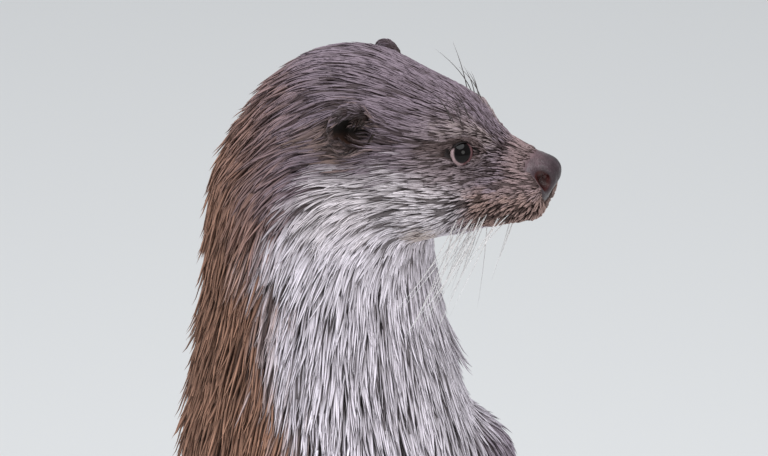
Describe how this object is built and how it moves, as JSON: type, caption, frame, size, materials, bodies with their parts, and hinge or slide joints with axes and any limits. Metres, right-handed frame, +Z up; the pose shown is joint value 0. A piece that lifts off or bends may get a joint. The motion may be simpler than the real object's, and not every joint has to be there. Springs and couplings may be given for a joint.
{
  "type": "eurasian otter",
  "caption": "Life-size otter standing upright on its hind feet with the tail laid behind as a prop and the head turned to its left; a still display model.",
  "frame": {"origin": "on the floor, under the middle of the bounding box", "axes": "+X the way the chest faces, +Y to the animal's left, +Z up"},
  "size_m": [0.5406, 0.1972, 0.6409],
  "materials": {
    "brown_fur": "wet dark brown fur in pointed locks",
    "grey_brown_fur": "wet grey-brown fur",
    "pale_fur": "wet pale grey fur in pointed locks",
    "nose_skin": "moist bare skin",
    "eye": "glossy dark eye",
    "claw": "horn"
  },
  "bodies": {
    "root": {"head": "brown_fur", "jaw": "pale_fur", "nose": "nose_skin", "eye_left": "eye", "ear_left": "brown_fur", "eye_right": "eye", "ear_right": "brown_fur", "neck": "pale_fur", "chest": "grey_brown_fur", "abdomen": "brown_fur", "tail_base": "brown_fur", "tail_middle": "brown_fur", "tail_tip": "brown_fur", "upper_arm_left": "brown_fur", "forearm_left": "brown_fur", "forepaw_left": "brown_fur", "claw_forepaw_left_1": "claw", "claw_forepaw_left_2": "claw", "claw_forepaw_left_3": "claw", "claw_forepaw_left_4": "claw", "claw_forepaw_left_5": "claw", "thigh_left": "brown_fur", "shank_left": "brown_fur", "hind_foot_left": "brown_fur", "claw_hind_foot_left_1": "claw", "claw_hind_foot_left_2": "claw", "claw_hind_foot_left_3": "claw", "claw_hind_foot_left_4": "claw", "claw_hind_foot_left_5": "claw", "upper_arm_right": "brown_fur", "forearm_right": "brown_fur", "forepaw_right": "brown_fur", "claw_forepaw_right_1": "claw", "claw_forepaw_right_2": "claw", "claw_forepaw_right_3": "claw", "claw_forepaw_right_4": "claw", "claw_forepaw_right_5": "claw", "thigh_right": "brown_fur", "shank_right": "brown_fur", "hind_foot_right": "brown_fur", "claw_hind_foot_right_1": "claw", "claw_hind_foot_right_2": "claw", "claw_hind_foot_right_3": "claw", "claw_hind_foot_right_4": "claw", "claw_hind_foot_right_5": "claw"}
  },
  "joints": []
}
